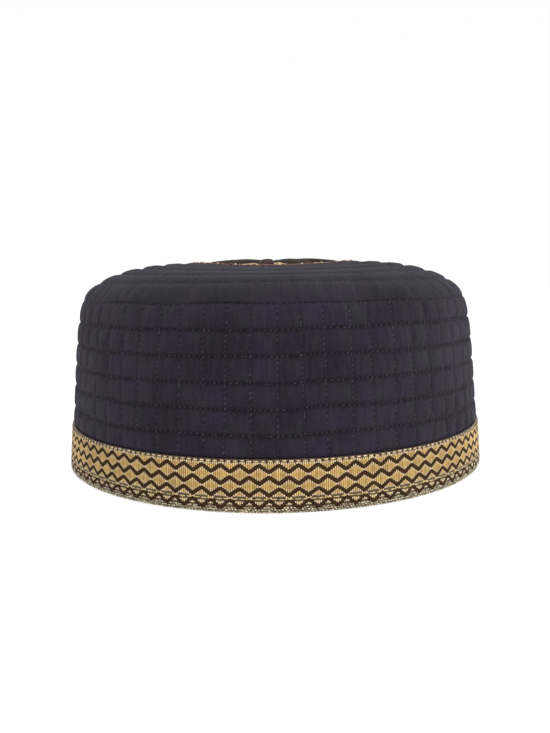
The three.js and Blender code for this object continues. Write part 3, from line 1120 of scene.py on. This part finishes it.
def floor_material():
    floor = Surface("studio_floor", Roughness=0.8, Emission_Color=(1, 1, 1), Emission_Strength=FLOOR_GLOW)
    floor.colour(floor.mix(floor.noise(0.4, detail=1.0), FLOOR_DARK, FLOOR_LIGHT))
    return floor.material


# Building the cap

navy_side = navy_cloth("navy_side", (0.0080, 0.0048, 0.0125), (0.0255, 0.0160, 0.0370),
                       (0.0225, 0.0210, 0.0290), wound=True)
navy_top = navy_cloth("navy_top", (0.0075, 0.0056, 0.0112), (0.0217, 0.0167, 0.0302),
                      (0.0198, 0.0188, 0.0240), wound=False)
# Its light tone, which random stitches get, is partly painted glints
navy_thread = thread_material("navy_thread", (0.004, 0.002, 0.007), (0.056, 0.046, 0.070), 0.5, gloss=0.35)
gold_weave = thread_material("gold_weave", (0.315, 0.187, 0.037), (0.61, 0.40, 0.096), 0.42,
                             sheen=0.1, metallic=0.12, tip_colour=(0.65, 0.51, 0.335))
gold_thread = thread_material("gold_thread", (0.45, 0.30, 0.11), (0.75, 0.56, 0.27), 0.38,
                              sheen=0.2, metallic=0.3)
fold_thread = thread_material("fold_thread", (0.10, 0.08, 0.03), (0.82, 0.72, 0.50), 0.6, sheen=0.1)
cream_thread = thread_material("cream_thread", (0.48, 0.33, 0.16), (0.78, 0.60, 0.38), 0.55, sheen=0.1)
dark_brown = thread_material("dark_brown", (0.030, 0.015, 0.006), (0.062, 0.033, 0.014), 0.95, gloss=0.1)
copper_thread = thread_material("copper_thread", (0.14, 0.05, 0.035), (0.34, 0.16, 0.12), 0.5, metallic=0.1)
olive_satin = thread_material("olive_satin", (0.014, 0.012, 0.007), (0.038, 0.032, 0.020), 0.6, gloss=0.15)
maroon_satin = thread_material("maroon_satin", (0.024, 0.009, 0.012), (0.055, 0.022, 0.026), 0.6, gloss=0.15)

side = add_side(navy_side)
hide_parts("crown_side")
top = add_top(navy_top)
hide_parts("crown_top")
add_level_stitches(navy_thread)
add_upright_stitches(navy_thread)
add_ring_stitches(navy_thread)

ribbon = add_ribbon(ribbon_ground())
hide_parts("rim_ribbon")
trimmings = [
    add_zigzags(dark_brown),
    add_floats(gold_weave),
    add_hem_stitches(gold_thread),
    add_selvage_loops(cream_thread),
    add_selvage_ticks(dark_brown),
    add_fold_threads(fold_thread),
]

petals = range(PETAL_COUNT)
leaf_edges = [leaf_edge(petal, side_sign, 1.0) for petal in petals for side_sign in (-1, 1)]
leaf_middles = [leaf_edge(petal, 1, 0.0) for petal in petals]
add_satin("olive_leaves", petals[::2], olive_satin, "dark_thread")
add_satin("maroon_leaves", petals[1::2], maroon_satin, "dark_thread")
add_ropes("leaf_cords", leaf_edges, 0.48 * MM, 0.8 * MM, gold_thread, "gold_thread")
add_ropes("leaf_veins", leaf_middles, 0.45 * MM, 0.8 * MM, dark_brown, "dark_thread")
add_ropes("rosette_zigzags", [zigzag_path(petal) for petal in petals], 0.42 * MM, 0.8 * MM,
          gold_thread, "gold_thread")
add_ropes("rosette_gold_ring", [ring_path(ROSETTE_RADIUS)], 0.5 * MM, 0.9 * MM,
          gold_thread, "gold_thread")
add_ropes("rosette_copper_ring", [ring_path(1.06 * ROSETTE_RADIUS)], 0.42 * MM, 0.9 * MM,
          copper_thread, "gold_thread")
add_knots("rosette_dots", 1.15 * ROSETTE_RADIUS, 3 * PETAL_COUNT, 0.95 * MM, cream_thread, "gold_thread")

# Floor, light and camera

FLOOR_HALF = 3.0
LIGHT_TARGET = Vector((0, 0, 0.05))
CAMERA_PLACE = (0.0003, -0.3268, 0.0805)
CAMERA_DOWN = math.radians(7.18)
CAMERA_ROLL = math.radians(-0.79)
FOCAL_PIXELS = 707
IMAGE_HEIGHT_PIXELS = 733

floor_mesh = bpy.data.meshes.new("studio_floor")
floor_mesh.from_pydata([(-FLOOR_HALF, -FLOOR_HALF, 0), (FLOOR_HALF, -FLOOR_HALF, 0),
                        (FLOOR_HALF, FLOOR_HALF, 0), (-FLOOR_HALF, FLOOR_HALF, 0)], [], [(0, 1, 2, 3)])
floor_mesh.materials.append(floor_material())
studio_floor = bpy.data.objects.new("studio_floor", floor_mesh)
bpy.context.scene.collection.objects.link(studio_floor)

world = bpy.data.worlds.new("white_studio")
world.use_nodes = True
world.node_tree.nodes["Background"].inputs["Color"].default_value = (1, 1, 1, 1)
world.node_tree.nodes["Background"].inputs["Strength"].default_value = 1.0
bpy.context.scene.world = world
bpy.context.scene.view_settings.view_transform = "Standard"


def add_area_light(name, place, size, power):
    light = bpy.data.lights.new(name, "AREA")
    light.size = size
    light.energy = power
    holder = bpy.data.objects.new(name, light)
    holder.location = place
    holder.rotation_euler = (LIGHT_TARGET - Vector(place)).to_track_quat("-Z", "Y").to_euler()
    bpy.context.scene.collection.objects.link(holder)


add_area_light("overhead", (0.1, 0.0, 0.9), size=0.5, power=2.5)
add_area_light("front_right", (0.8, -0.6, 0.5), size=0.4, power=4.5)

camera_data = bpy.data.cameras.new("camera")
camera_data.sensor_width = 36
camera_data.lens = FOCAL_PIXELS / IMAGE_HEIGHT_PIXELS * camera_data.sensor_width
camera = bpy.data.objects.new("camera", camera_data)
camera.matrix_world = (Matrix.Translation(CAMERA_PLACE)
                       @ Matrix.Rotation(math.pi / 2 - CAMERA_DOWN, 4, "X")
                       @ Matrix.Rotation(CAMERA_ROLL, 4, "Z"))
bpy.context.scene.collection.objects.link(camera)
bpy.context.scene.camera = camera
